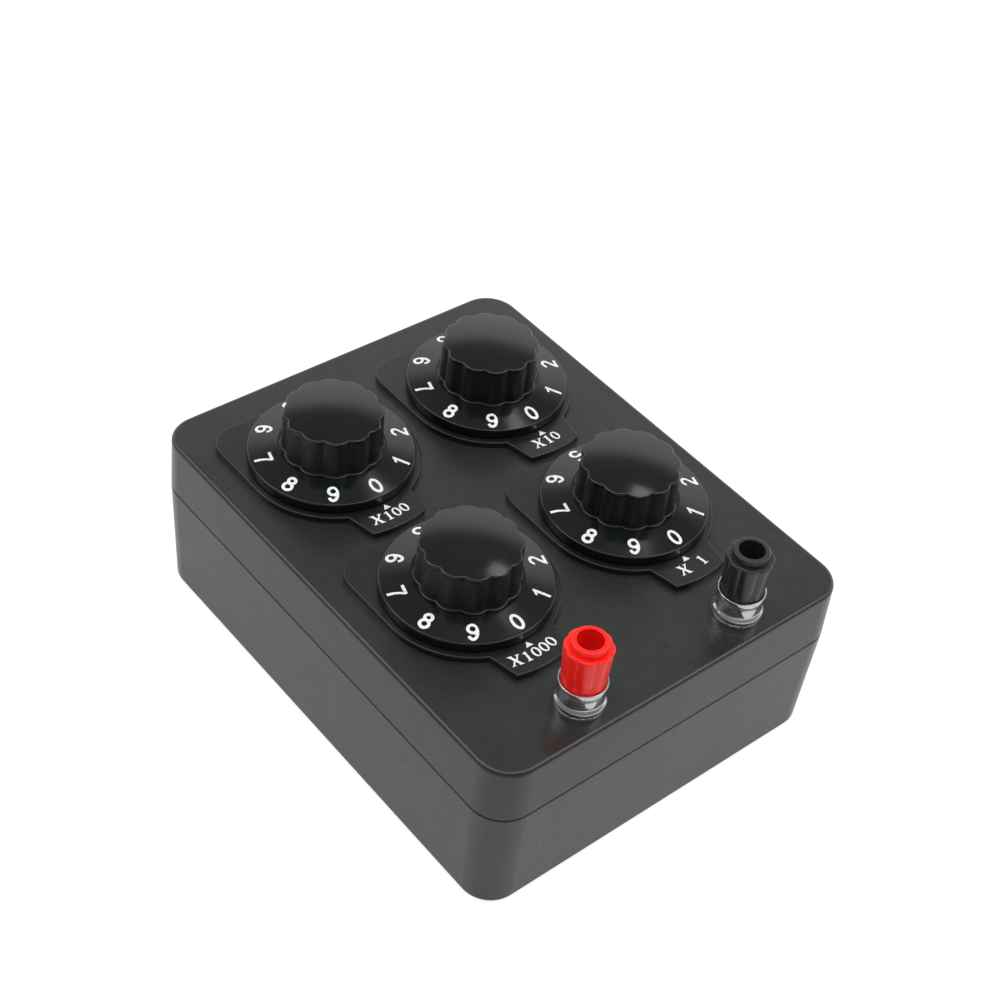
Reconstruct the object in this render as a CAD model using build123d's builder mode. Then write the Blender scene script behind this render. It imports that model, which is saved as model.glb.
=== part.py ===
from build123d import *
import math
import os

# Four-dial resistance decade box in a two-part moulded case.
# Millimetres. Origin at the middle of the case's underside, +X along the long side towards
# the two terminals, +Y across, +Z up out of the dials.

os.makedirs("parts", exist_ok=True)

# Case
case_length = 145.0
case_width = 115.0
case_height = 50.0
seam_height = 33.5
corner_radius = 9.5
case_wall = 2.6
panel_thickness = 3.0
floor_thickness = 2.6
lid_draft_inset = 0.4
tray_draft_inset = 1.0
lid_edge_fillet = 1.2
tray_edge_fillet = 1.0
seam_chamfer = 0.35
seam_bevel_angle = 45.0
tongue_thickness = 1.1
tongue_height = 1.8
tongue_clearance = 0.1

# Case screws, driven up through the tray's pillars into the lid's
screw_inset = 10.5
pillar_radius = 4.4
screw_head_radius = 2.8
screw_head_height = 2.2
screw_shank_radius = 1.4
screw_length = 18.0
screw_clearance = 0.3
screw_thread_clearance = 0.05
screw_seat_height = 21.0
screw_slot_width = 0.9
screw_slot_depth = 1.1
screw_slot_reach = 1.75

# Dial layout: names run from the smallest decade to the largest
dial_spacing_x = 57.0
dial_spacing_y = 52.0
dial_end_margin = 35.0
dial_positions = 10
dial_step = 360 / dial_positions

# Escutcheon plate under each dial
plate_radius = 23.6
plate_thickness = 1.7
plate_corner_radius = 7.0
plate_edge_fillet = 0.3
tab_reach = 30.8
tab_root_half_width = 10.0
tab_tip_half_width = 8.2
tab_tip_x = 29.5
peg_radius = 1.2
peg_length = 1.5
peg_offset = 15.5
peg_clearance = 0.1

# Knob with its numbered skirt
knob_gap = 0.5
skirt_radius = 22.0
skirt_rim_height = 4.6
skirt_crown_height = 6.1
skirt_crown_radius = 14.2
skirt_edge_fillet = 0.35
skirt_recess_depth = 1.1
skirt_recess_outer = 20.0
skirt_recess_inner = 9.8
cap_radius = 13.3
cap_rim_height = 16.9
cap_dome = 1.2
cap_draft = 1.0
cap_edge_fillet = 0.5
cap_lobes = 12
cap_lobe_radius = 4.5
cap_flute_fillet = 0.7
cap_foot_fillet = 0.5
cap_phase = -2.0
nib_radius = 0.55
nib_height = 0.3
nut_chamber_clearance = 0.8

# Switch shaft, bushing and nut
shaft_radius = 3.0
shaft_flat = 2.5
shaft_top = 14.0
shaft_running_clearance = 0.05
bore_clearance = 0.03
bore_end_clearance = 0.4
bushing_radius = 4.0
bushing_height = 5.2
panel_hole_clearance = 0.1
switch_nut_across_flats = 11.0
switch_nut_thickness = 2.2

# Switch frame, index wheel and detent
frame_plate_radius = 13.0
frame_plate_thickness = 1.5
standoff_radius = 1.4
standoff_reach = 11.0
standoff_length = 14.0
rivet_radius = 0.8
rivet_clearance = 0.05
rivet_head_height = 0.4
wheel_radius = 7.5
wheel_thickness = 1.5
wheel_drop = 2.0
wheel_notch_depth = 0.7
ball_radius = 1.5
ball_clearance = 0.15
leaf_thickness = 0.3
leaf_width = 6.0
leaf_drop = 6.0
leaf_foot = 2.2

# Contact wafer, rotor and wiper
wafer_radius = 14.0
wafer_thickness = 1.5
wafer_hole_radius = 5.5
tag_thickness = 0.4
tag_width = 2.0
tag_inner = 10.6
tag_outer = 18.2
common_tag_inner = 6.1
rotor_radius = 5.2
rotor_rise = 1.0
wiper_gap = 0.15
wiper_thickness = 0.4
wiper_ring_radius = 6.8
wiper_reach = 12.6
wiper_width = 2.4
shaft_tail = 1.2

# Resistors, one between each contact and the next
resistor_radius = 1.3
resistor_length = 6.0
resistor_circle = 16.6
lead_size = 0.5
lead_gap = 0.15
lead_short = 0.6

# Terminals
terminal_inset = 10.0
post_radius = 3.0
post_top = 14.5
socket_radius = 2.0
socket_depth = 12.5
post_base_radius = 4.6
post_base_height = 6.9
post_waist_radius = 3.7
post_waist_low = 2.8
post_waist_high = 5.6
post_foot_height = 0.8
post_tail_radius = 2.0
post_tail_length = 9.0
collar_flange_radius = 6.45
collar_flange_height = 2.2
collar_neck_radius = 5.75
collar_neck_low = 2.9
collar_neck_high = 5.9
collar_lip_radius = 6.1
collar_lip_low = 7.0
collar_lip_top = 8.2
collar_seat_height = 7.0
collar_clearance = 0.1
collar_lip_clearance = 0.15
collar_edge_fillet = 0.35
terminal_cap_bottom = 7.15
terminal_cap_shoulder = 19.5
terminal_cap_top = 21.4
terminal_cap_foot_radius = 5.4
terminal_cap_foot_height = 1.0
terminal_cap_fade_radius = 4.7
terminal_cap_fade_height = 5.0
terminal_cap_radius = 6.1
terminal_cap_ring_radius = 4.6
terminal_cap_ring_sink = 1.0
terminal_cap_lobes = 8
terminal_cap_lobe_radius = 2.4
terminal_cap_flute_fillet = 0.35
terminal_cap_edge_fillet = 0.45
terminal_cap_hole_gap = 0.3
insert_radius = 4.1
insert_length = 5.0
insert_clearance = 0.05
lug_radius = 3.6
lug_thickness = 0.4
lug_tail_width = 2.4
lug_tail_reach = 9.0
terminal_nut_across_flats = 7.0
terminal_nut_thickness = 3.2

# Link wires
wire_radius = 0.6
wire_bend = 2.5
wire_drop = 5.0
wire_step = 3.0
wire_tip_gap = 0.15
wire_tag_inset = 0.8

# Construction allowances
cut_margin = 1.0
level_tolerance = 0.01

# Places that follow from the sizes above
panel_underside = -panel_thickness
frame_underside = panel_underside - frame_plate_thickness
wafer_top = frame_underside - standoff_length
wafer_bottom = wafer_top - wafer_thickness
tag_bottom = wafer_bottom - tag_thickness
wiper_top = tag_bottom - wiper_gap
wiper_bottom = wiper_top - wiper_thickness
shaft_bottom = wiper_bottom - shaft_tail
wheel_top = frame_underside - wheel_drop
knob_bottom = plate_thickness + knob_gap
nut_chamber_radius = switch_nut_across_flats / math.sqrt(3) + nut_chamber_clearance
nut_chamber_top = bushing_height + nut_chamber_clearance
cap_crown_height = cap_rim_height + cap_dome
inner_length = case_length - 2 * case_wall
inner_width = case_width - 2 * case_wall
inner_corner = corner_radius - case_wall
lid_height = case_height - seam_height
screw_x = case_length / 2 - screw_inset
screw_y = case_width / 2 - screw_inset
terminal_x = case_length / 2 - terminal_inset
dial_middle_x = dial_end_margin + dial_spacing_x / 2 - case_length / 2
terminal_y = dial_spacing_y / 2

dials = {
    "x1": (dial_middle_x + dial_spacing_x / 2, dial_spacing_y / 2),
    "x10": (dial_middle_x - dial_spacing_x / 2, dial_spacing_y / 2),
    "x100": (dial_middle_x - dial_spacing_x / 2, -dial_spacing_y / 2),
    "x1000": (dial_middle_x + dial_spacing_x / 2, -dial_spacing_y / 2),
}
terminals = {
    "red": (terminal_x, -terminal_y),
    "black": (terminal_x, terminal_y),
}


def on_panel(place, height=0.0):
    """Level plane over a dial or terminal, its height counted from the panel's top"""
    return Plane(origin=(place[0], place[1], case_height + height))


def through(place):
    """Upright plane through the axis of a dial or terminal, for turned outlines"""
    return Plane(origin=(place[0], place[1], case_height), x_dir=(1, 0, 0), z_dir=(0, -1, 0))


def axis_of(place):
    """Vertical axis of a dial or terminal"""
    return Axis((place[0], place[1], 0), (0, 0, 1))


def save(piece, name):
    """Label a finished piece and write it to its own file"""
    piece.part.label = name
    export_step(piece.part, f"parts/{name}.step")


def edges_at(builder, height):
    """Edges that lie level at one height above the panel"""
    level = case_height + height
    return builder.edges().filter_by_position(Axis.Z, level - level_tolerance, level + level_tolerance)


def turned(place, points):
    """Face bounded by (radius, height) points, ready to be turned round a place's axis"""
    with BuildSketch(through(place), mode=Mode.PRIVATE) as outline:
        with BuildLine():
            Polyline(*points, close=True)
        make_face()
    return outline.sketch


def flatted(plane, radius, flat):
    """Round section with one flat, as on a switch shaft"""
    with BuildSketch(plane, mode=Mode.PRIVATE) as section:
        Circle(radius)
        with Locations((flat, 0)):
            Rectangle(2 * radius, 2 * radius, align=(Align.MIN, Align.CENTER),
                      mode=Mode.SUBTRACT)
    return section.sketch


def lobed(plane, radius, lobes, lobe_radius, flute_fillet, phase):
    """Scalloped grip outline: a ring of overlapping round lobes with softened flutes between"""
    with BuildSketch(plane, mode=Mode.PRIVATE) as grip:
        Circle(radius - lobe_radius)
        with PolarLocations(radius - lobe_radius, lobes, start_angle=phase):
            Circle(lobe_radius)
        fillet(grip.vertices(), flute_fillet)
    return grip.sketch


# Lid: the panel that carries the dials and terminals
lid_draft = math.degrees(math.atan2(lid_draft_inset, lid_height - seam_chamfer))
with BuildPart() as case_lid:
    with BuildSketch(Plane.XY.offset(seam_height + seam_chamfer)):
        RectangleRounded(case_length, case_width, corner_radius)
    extrude(amount=lid_height - seam_chamfer, taper=lid_draft)
    fillet(case_lid.faces().sort_by(Axis.Z)[-1].edges(), lid_edge_fillet)
    with BuildSketch(Plane.XY.offset(seam_height + seam_chamfer)):
        RectangleRounded(case_length, case_width, corner_radius)
    extrude(amount=-seam_chamfer, taper=seam_bevel_angle)
    with BuildSketch(Plane.XY.offset(seam_height)):
        RectangleRounded(inner_length, inner_width, inner_corner)
    extrude(amount=lid_height - panel_thickness, mode=Mode.SUBTRACT)
    rebate = tongue_thickness + tongue_clearance
    with BuildSketch(Plane.XY.offset(seam_height)):
        RectangleRounded(inner_length + 2 * rebate, inner_width + 2 * rebate, inner_corner + rebate)
    extrude(amount=tongue_height + tongue_clearance, mode=Mode.SUBTRACT)
    with BuildSketch(Plane.XY.offset(seam_height)):
        with GridLocations(2 * screw_x, 2 * screw_y, 2, 2):
            Circle(pillar_radius)
    extrude(amount=lid_height - panel_thickness)
    with BuildSketch(Plane.XY.offset(seam_height)):
        with GridLocations(2 * screw_x, 2 * screw_y, 2, 2):
            Circle(screw_shank_radius + screw_thread_clearance)
    extrude(amount=screw_seat_height + screw_length + screw_clearance - seam_height, mode=Mode.SUBTRACT)
    with BuildSketch(Plane.XY.offset(case_height)):
        with Locations(*dials.values()):
            Circle(bushing_radius + panel_hole_clearance)
        with Locations(*terminals.values()):
            Circle(post_tail_radius + panel_hole_clearance)
    extrude(amount=-panel_thickness, mode=Mode.SUBTRACT)
    with BuildSketch(Plane.XY.offset(case_height)):
        with Locations(*[(x - peg_offset, y - peg_offset) for x, y in dials.values()]):
            Circle(peg_radius + peg_clearance)
    extrude(amount=-(peg_length + peg_clearance), mode=Mode.SUBTRACT)
save(case_lid, "case_lid")

# Tray: the deep lower half, with a tongue that locates the lid
tray_rim = seam_height - seam_chamfer
tray_draft = math.degrees(math.atan2(tray_draft_inset, tray_rim))
with BuildPart() as case_tray:
    with BuildSketch(Plane.XY.offset(tray_rim)):
        RectangleRounded(case_length, case_width, corner_radius)
    extrude(amount=-tray_rim, taper=tray_draft)
    fillet(case_tray.faces().sort_by(Axis.Z)[0].edges(), tray_edge_fillet)
    with BuildSketch(Plane.XY.offset(tray_rim)):
        RectangleRounded(case_length, case_width, corner_radius)
    extrude(amount=seam_chamfer, taper=seam_bevel_angle)
    with BuildSketch(Plane.XY.offset(seam_height)):
        RectangleRounded(inner_length + 2 * tongue_thickness, inner_width + 2 * tongue_thickness,
                         inner_corner + tongue_thickness)
    extrude(amount=tongue_height)
    with BuildSketch(Plane.XY.offset(floor_thickness)):
        RectangleRounded(inner_length - 2 * tray_draft_inset, inner_width - 2 * tray_draft_inset,
                         inner_corner - tray_draft_inset)
    extrude(amount=seam_height - floor_thickness, taper=-tray_draft, mode=Mode.SUBTRACT)
    with BuildSketch(Plane.XY.offset(seam_height)):
        RectangleRounded(inner_length, inner_width, inner_corner)
    extrude(amount=tongue_height, mode=Mode.SUBTRACT)
    with BuildSketch(Plane.XY.offset(floor_thickness)):
        with GridLocations(2 * screw_x, 2 * screw_y, 2, 2):
            Circle(pillar_radius)
    extrude(amount=seam_height - floor_thickness)
    with BuildSketch():
        with GridLocations(2 * screw_x, 2 * screw_y, 2, 2):
            Circle(screw_head_radius + screw_clearance)
    extrude(amount=screw_seat_height, mode=Mode.SUBTRACT)
    with BuildSketch(Plane.XY.offset(screw_seat_height)):
        with GridLocations(2 * screw_x, 2 * screw_y, 2, 2):
            Circle(screw_shank_radius + screw_clearance)
    extrude(amount=seam_height - screw_seat_height, mode=Mode.SUBTRACT)
save(case_tray, "case_tray")

# Case screws, heads sunk deep in the underside
with BuildPart() as case_screws:
    with BuildSketch(Plane.XY.offset(screw_seat_height - screw_head_height)):
        with GridLocations(2 * screw_x, 2 * screw_y, 2, 2):
            Circle(screw_head_radius)
    extrude(amount=screw_head_height)
    with BuildSketch(Plane.XY.offset(screw_seat_height)):
        with GridLocations(2 * screw_x, 2 * screw_y, 2, 2):
            Circle(screw_shank_radius)
    extrude(amount=screw_length)
    with BuildSketch(Plane.XY.offset(screw_seat_height - screw_head_height)):
        with GridLocations(2 * screw_x, 2 * screw_y, 2, 2):
            Rectangle(2 * screw_slot_reach, screw_slot_width)
            Rectangle(screw_slot_width, 2 * screw_slot_reach)
    extrude(amount=screw_slot_depth, mode=Mode.SUBTRACT)
save(case_screws, "case_screws")


def make_plate(name, place):
    """Escutcheon plate: round, with one square corner and a tab for the multiplier"""
    with BuildPart() as plate:
        with BuildSketch(on_panel(place)) as body:
            Circle(plate_radius)
            with Locations((-plate_radius / 2, -plate_radius / 2)):
                Rectangle(plate_radius, plate_radius)
            fillet(body.vertices().sort_by(Axis((0, 0, 0), (1, 1, 0)))[0], plate_corner_radius)
        with BuildSketch(on_panel(place)):
            root_x = math.sqrt(plate_radius ** 2 - tab_root_half_width ** 2) - plate_edge_fillet
            slope = (tab_root_half_width - tab_tip_half_width) / (tab_tip_x - root_x)
            far_x = tab_reach + cut_margin
            far_half_width = tab_root_half_width - slope * (far_x - root_x)
            Circle(tab_reach)
            with BuildLine():
                Polyline((0, tab_root_half_width / 2), (root_x, tab_root_half_width),
                         (far_x, far_half_width), (far_x, -far_half_width),
                         (root_x, -tab_root_half_width), (0, -tab_root_half_width / 2), close=True)
            make_face(mode=Mode.INTERSECT)
        extrude(amount=plate_thickness)
        fillet(plate.faces().sort_by(Axis.Z)[-1].edges(), plate_edge_fillet)
        with BuildSketch(on_panel(place)):
            Circle(bushing_radius + panel_hole_clearance)
        extrude(amount=plate_thickness, mode=Mode.SUBTRACT)
        with BuildSketch(on_panel(place)):
            with Locations((-peg_offset, -peg_offset)):
                Circle(peg_radius)
        extrude(amount=-peg_length)
    save(plate, f"dial_plate_{name}")


def make_knob(name, place):
    """One-piece moulded knob: scalloped grip on a numbered skirt, hollow over the nut"""
    with BuildPart() as knob:
        foot = skirt_rim_height
        grip = lobed(on_panel(place, foot), cap_radius, cap_lobes, cap_lobe_radius,
                     cap_flute_fillet, cap_phase)
        extrude(grip, amount=cap_crown_height - foot, taper=cap_draft)
        beyond = cap_radius + cut_margin
        fall = cap_dome / cap_radius ** 2
        with BuildSketch(through(place)):
            with BuildLine():
                crown_arc = ThreePointArc((0, cap_crown_height),
                                          (beyond / 2, cap_crown_height - fall * (beyond / 2) ** 2),
                                          (beyond, cap_crown_height - fall * beyond ** 2))
                Polyline(crown_arc @ 1, (beyond, 0), (0, 0), crown_arc @ 0)
            make_face()
        revolve(axis=axis_of(place), mode=Mode.INTERSECT)
        rim_edges = knob.edges().filter_by_position(Axis.Z, case_height + cap_rim_height - cut_margin,
                                                    case_height + cap_crown_height)
        fillet(rim_edges, cap_edge_fillet)
        skirt = turned(place, [(0, knob_bottom), (skirt_radius, knob_bottom),
                               (skirt_radius, skirt_rim_height),
                               (skirt_crown_radius, skirt_crown_height), (0, skirt_crown_height)])
        revolve(skirt, axis=axis_of(place))
        foot_edges = edges_at(knob, skirt_crown_height)
        fillet(foot_edges.filter_by(lambda edge: edge.radius < skirt_crown_radius - level_tolerance),
               cap_foot_fillet)
        fillet(edges_at(knob, skirt_rim_height), skirt_edge_fillet)
        nib = turned(place, [(0, cap_crown_height - nib_height), (nib_radius, cap_crown_height - nib_height),
                             (nib_radius / 2, cap_crown_height + nib_height / 2),
                             (0, cap_crown_height + nib_height / 2)])
        revolve(nib, axis=axis_of(place))
        recess = turned(place, [(skirt_recess_inner, knob_bottom), (skirt_recess_outer, knob_bottom),
                                (skirt_recess_outer, knob_bottom + skirt_recess_depth),
                                (skirt_recess_inner, knob_bottom + skirt_recess_depth)])
        revolve(recess, axis=axis_of(place), mode=Mode.SUBTRACT)
        chamber = turned(place, [(0, knob_bottom), (nut_chamber_radius, knob_bottom),
                                 (nut_chamber_radius, nut_chamber_top), (0, nut_chamber_top)])
        revolve(chamber, axis=axis_of(place), mode=Mode.SUBTRACT)
        bore = flatted(on_panel(place, nut_chamber_top), shaft_radius + bore_clearance,
                       shaft_flat + bore_clearance)
        extrude(bore, amount=shaft_top + bore_end_clearance - nut_chamber_top, mode=Mode.SUBTRACT)
    save(knob, f"dial_knob_{name}")


def make_switch_metal(name, place):
    """Shaft, frame with its bushing, index wheel and detent of one switch"""
    with BuildPart() as shaft:
        tail_top = wafer_top + rotor_rise
        tail = flatted(on_panel(place, shaft_bottom), shaft_radius, shaft_flat)
        extrude(tail, amount=tail_top - shaft_bottom)
        with BuildSketch(on_panel(place, tail_top)):
            Circle(shaft_radius)
        extrude(amount=nut_chamber_top - tail_top)
        drive = flatted(on_panel(place, nut_chamber_top), shaft_radius, shaft_flat)
        extrude(drive, amount=shaft_top - nut_chamber_top)
    save(shaft, f"switch_shaft_{name}")

    with BuildPart() as frame:
        with BuildSketch(on_panel(place, frame_underside)):
            Circle(frame_plate_radius)
        extrude(amount=frame_plate_thickness)
        with BuildSketch(on_panel(place, panel_underside)):
            Circle(bushing_radius)
        extrude(amount=bushing_height - panel_underside)
        with BuildSketch(on_panel(place, frame_underside)):
            with Locations((0, standoff_reach), (0, -standoff_reach)):
                Circle(standoff_radius)
        extrude(amount=-standoff_length)
        with BuildSketch(on_panel(place, wafer_top)):
            with Locations((0, standoff_reach), (0, -standoff_reach)):
                Circle(rivet_radius)
        extrude(amount=-wafer_thickness)
        with BuildSketch(on_panel(place, wafer_bottom)):
            with Locations((0, standoff_reach), (0, -standoff_reach)):
                Circle(standoff_radius)
        extrude(amount=-rivet_head_height)
        with BuildSketch(on_panel(place, frame_underside)):
            Circle(shaft_radius + shaft_running_clearance)
        extrude(amount=bushing_height - frame_underside, mode=Mode.SUBTRACT)
    save(frame, f"switch_frame_{name}")

    with BuildPart() as wheel:
        with BuildSketch(on_panel(place, wheel_top)):
            Circle(wheel_radius)
            with PolarLocations(wheel_radius + ball_radius - wheel_notch_depth, dial_positions):
                Circle(ball_radius, mode=Mode.SUBTRACT)
            Circle(shaft_radius + bore_clearance, mode=Mode.SUBTRACT)
        extrude(amount=-wheel_thickness)
    save(wheel, f"index_wheel_{name}")

    ball_reach = wheel_radius + ball_clearance + ball_radius
    leaf_inner = ball_reach + ball_radius
    leaf_outer = leaf_inner + leaf_thickness
    with BuildPart() as detent:
        with BuildSketch(through(place)):
            with BuildLine():
                Polyline((leaf_outer - leaf_foot, frame_underside), (leaf_outer, frame_underside),
                         (leaf_outer, frame_underside - leaf_drop), (leaf_inner, frame_underside - leaf_drop),
                         (leaf_inner, frame_underside - leaf_thickness),
                         (leaf_outer - leaf_foot, frame_underside - leaf_thickness), close=True)
            make_face()
        extrude(amount=leaf_width / 2, both=True)
        ball_height = wheel_top - wheel_thickness / 2
        with Locations((place[0] + ball_reach, place[1], case_height + ball_height)):
            Sphere(ball_radius)
    save(detent, f"detent_spring_{name}")


def make_switch_wafer(name, place):
    """Contact wafer with its tags, the turning rotor with its wiper, and the resistors"""
    with BuildPart() as wafer:
        with BuildSketch(on_panel(place, wafer_top)):
            Circle(wafer_radius)
            Circle(wafer_hole_radius, mode=Mode.SUBTRACT)
            with Locations((0, standoff_reach), (0, -standoff_reach)):
                Circle(rivet_radius + rivet_clearance, mode=Mode.SUBTRACT)
        extrude(amount=-wafer_thickness)
    save(wafer, f"switch_wafer_{name}")

    with BuildPart() as contacts:
        with BuildSketch(on_panel(place, wafer_bottom)):
            with PolarLocations((tag_inner + tag_outer) / 2, dial_positions):
                Rectangle(tag_outer - tag_inner, tag_width)
            with PolarLocations((common_tag_inner + tag_outer) / 2, 1, start_angle=dial_step / 2):
                Rectangle(tag_outer - common_tag_inner, tag_width)
        extrude(amount=-tag_thickness)
    save(contacts, f"switch_contacts_{name}")

    with BuildPart() as rotor:
        with BuildSketch(on_panel(place, wafer_top + rotor_rise)):
            Circle(rotor_radius)
        extrude(amount=wiper_top - wafer_top - rotor_rise)
        bore = flatted(on_panel(place, wafer_top + rotor_rise), shaft_radius + bore_clearance,
                       shaft_flat + bore_clearance)
        extrude(bore, amount=wiper_top - wafer_top - rotor_rise, mode=Mode.SUBTRACT)
    save(rotor, f"switch_rotor_{name}")

    with BuildPart() as wiper:
        with BuildSketch(on_panel(place, wiper_top)):
            Circle(wiper_ring_radius)
            Rectangle(wiper_reach, wiper_width, align=(Align.MIN, Align.CENTER))
            Circle(shaft_radius + bore_clearance, mode=Mode.SUBTRACT)
        extrude(amount=-wiper_thickness)
    save(wiper, f"switch_wiper_{name}")

    middle_reach = resistor_circle * math.cos(math.radians(dial_step / 2))
    lead_length = 2 * (resistor_circle * math.sin(math.radians(dial_step / 2)) - lead_short)
    lead_height = tag_bottom - lead_gap - lead_size / 2
    count = dial_positions - 1
    first = dial_step * 1.5
    with BuildPart(on_panel(place, lead_height)) as resistors:
        with PolarLocations(middle_reach, count, start_angle=first,
                            angular_range=dial_step * (count - 1), endpoint=True):
            Cylinder(resistor_radius, resistor_length, rotation=(90, 0, 0))
            Box(lead_size, lead_length, lead_size)
    save(resistors, f"decade_resistors_{name}")


for dial_name, dial_place in dials.items():
    make_plate(dial_name, dial_place)
    make_knob(dial_name, dial_place)
    make_switch_metal(dial_name, dial_place)
    make_switch_wafer(dial_name, dial_place)

# Nuts that clamp each switch and its plate to the panel
with BuildPart() as switch_nuts:
    with BuildSketch(Plane.XY.offset(case_height + plate_thickness)):
        with Locations(*dials.values()):
            RegularPolygon(switch_nut_across_flats / 2, 6, major_radius=False)
            Circle(bushing_radius + rivet_clearance, mode=Mode.SUBTRACT)
    extrude(amount=switch_nut_thickness)
save(switch_nuts, "switch_nuts")


def make_terminal(name, place):
    """Binding post: metal post with its socket, clear collar, threaded insert and screw cap"""
    with BuildPart() as post:
        outline = turned(place, [(0, 0), (post_base_radius, 0), (post_base_radius, post_foot_height),
                                 (post_waist_radius, post_waist_low),
                                 (post_waist_radius, post_waist_high),
                                 (post_base_radius, post_base_height),
                                 (post_radius, post_base_height), (post_radius, post_top),
                                 (socket_radius, post_top), (socket_radius, post_top - socket_depth),
                                 (0, post_top - socket_depth)])
        revolve(outline, axis=axis_of(place))
        with BuildSketch(on_panel(place)):
            Circle(post_tail_radius)
        extrude(amount=-post_tail_length)
    save(post, f"terminal_post_{name}")

    collar_inner = post_base_radius + collar_clearance
    lip_inner = terminal_cap_foot_radius + collar_lip_clearance
    with BuildPart() as collar:
        outline = turned(place, [(collar_inner, 0), (collar_flange_radius, 0),
                                 (collar_flange_radius, collar_flange_height),
                                 (collar_neck_radius, collar_neck_low),
                                 (collar_neck_radius, collar_neck_high),
                                 (collar_lip_radius, collar_lip_low), (collar_lip_radius, collar_lip_top),
                                 (lip_inner, collar_lip_top), (lip_inner, collar_seat_height),
                                 (collar_inner, collar_seat_height)])
        revolve(outline, axis=axis_of(place))
        fillet(edges_at(collar, collar_flange_height), collar_edge_fillet)
    save(collar, f"terminal_collar_{name}")

    insert_top = terminal_cap_bottom + insert_length
    with BuildPart() as insert:
        with BuildSketch(on_panel(place, terminal_cap_bottom)):
            Circle(insert_radius)
            Circle(post_radius + insert_clearance, mode=Mode.SUBTRACT)
        extrude(amount=insert_length)
    save(insert, f"terminal_insert_{name}")

    grip_height = terminal_cap_shoulder - terminal_cap_bottom
    grip_spread = math.degrees(math.atan2(terminal_cap_radius - terminal_cap_foot_radius, grip_height))
    with BuildPart() as cap:
        grip = lobed(on_panel(place, terminal_cap_bottom), terminal_cap_foot_radius,
                     terminal_cap_lobes, terminal_cap_lobe_radius, terminal_cap_flute_fillet, 0)
        extrude(grip, amount=grip_height, taper=-grip_spread)
        fillet(cap.faces().sort_by(Axis.Z)[-1].edges(), terminal_cap_edge_fillet)
        ring_bottom = terminal_cap_shoulder - terminal_cap_ring_sink
        ring = turned(place, [(0, ring_bottom), (terminal_cap_ring_radius, ring_bottom),
                              (terminal_cap_ring_radius, terminal_cap_top), (0, terminal_cap_top)])
        revolve(ring, axis=axis_of(place))
        fillet(cap.faces().sort_by(Axis.Z)[-1].edges(), terminal_cap_edge_fillet)
        foot = turned(place, [(0, terminal_cap_bottom), (terminal_cap_foot_radius, terminal_cap_bottom),
                              (terminal_cap_foot_radius, terminal_cap_bottom + terminal_cap_foot_height),
                              (terminal_cap_fade_radius, terminal_cap_bottom + terminal_cap_fade_height),
                              (0, terminal_cap_bottom + terminal_cap_fade_height)])
        revolve(foot, axis=axis_of(place))
        socket = turned(place, [(0, terminal_cap_bottom),
                                (insert_radius + insert_clearance, terminal_cap_bottom),
                                (insert_radius + insert_clearance, insert_top + insert_clearance),
                                (post_radius + terminal_cap_hole_gap, insert_top + insert_clearance),
                                (post_radius + terminal_cap_hole_gap, terminal_cap_top), (0, terminal_cap_top)])
        revolve(socket, axis=axis_of(place), mode=Mode.SUBTRACT)
    save(cap, f"terminal_cap_{name}")


for terminal_name, terminal_place in terminals.items():
    make_terminal(terminal_name, terminal_place)

# Solder lugs and nuts under the panel, one of each to a terminal
with BuildPart() as terminal_lugs:
    with BuildSketch(Plane.XY.offset(case_height + panel_underside)):
        with Locations(*terminals.values()):
            Circle(lug_radius)
            Rectangle(lug_tail_reach, lug_tail_width, align=(Align.MAX, Align.CENTER))
            Circle(post_tail_radius + rivet_clearance, mode=Mode.SUBTRACT)
    extrude(amount=-lug_thickness)
save(terminal_lugs, "terminal_lugs")

with BuildPart() as terminal_nuts:
    with BuildSketch(Plane.XY.offset(case_height + panel_underside - lug_thickness)):
        with Locations(*terminals.values()):
            RegularPolygon(terminal_nut_across_flats / 2, 6, major_radius=False)
            Circle(post_tail_radius + rivet_clearance, mode=Mode.SUBTRACT)
    extrude(amount=-terminal_nut_thickness)
save(terminal_nuts, "terminal_nuts")

# Link wires: red terminal, then each decade from its wiper to its zero contact, then black terminal
tag_reach = tag_outer - wire_tag_inset
tag_level = case_height + tag_bottom - wire_tip_gap
lug_level = case_height + panel_underside - lug_thickness - wire_tip_gap
common_angle = math.radians(dial_step / 2)


def zero_tag(name):
    """Where a wire meets a switch's zero contact"""
    x, y = dials[name]
    return (x + tag_reach, y, tag_level)


def common_tag(name):
    """Where a wire meets a switch's common contact"""
    x, y = dials[name]
    return (x + tag_reach * math.cos(common_angle), y + tag_reach * math.sin(common_angle), tag_level)


def lug_tip(name):
    """Where a wire meets a terminal's solder lug"""
    x, y = terminals[name]
    return (x - lug_tail_reach + wire_tag_inset, y, lug_level)


links = [
    (lug_tip("red"), common_tag("x1000"), 0),
    (zero_tag("x1000"), common_tag("x100"), 1),
    (zero_tag("x100"), common_tag("x10"), 2),
    (zero_tag("x10"), common_tag("x1"), 1),
    (zero_tag("x1"), lug_tip("black"), 0),
]
with BuildPart() as link_wires:
    for start, end, layer in links:
        run_height = tag_level - wire_drop - layer * wire_step
        with BuildLine() as route:
            FilletPolyline(start, (start[0], start[1], run_height), (end[0], end[1], run_height), end,
                           radius=wire_bend)
        with BuildSketch(Plane(origin=start, z_dir=(0, 0, -1))):
            Circle(wire_radius)
        sweep(path=route.line)
save(link_wires, "link_wires")
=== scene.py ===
import math

import bmesh
import bpy
from mathutils import Matrix, Vector
from mathutils.geometry import tessellate_polygon


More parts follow.
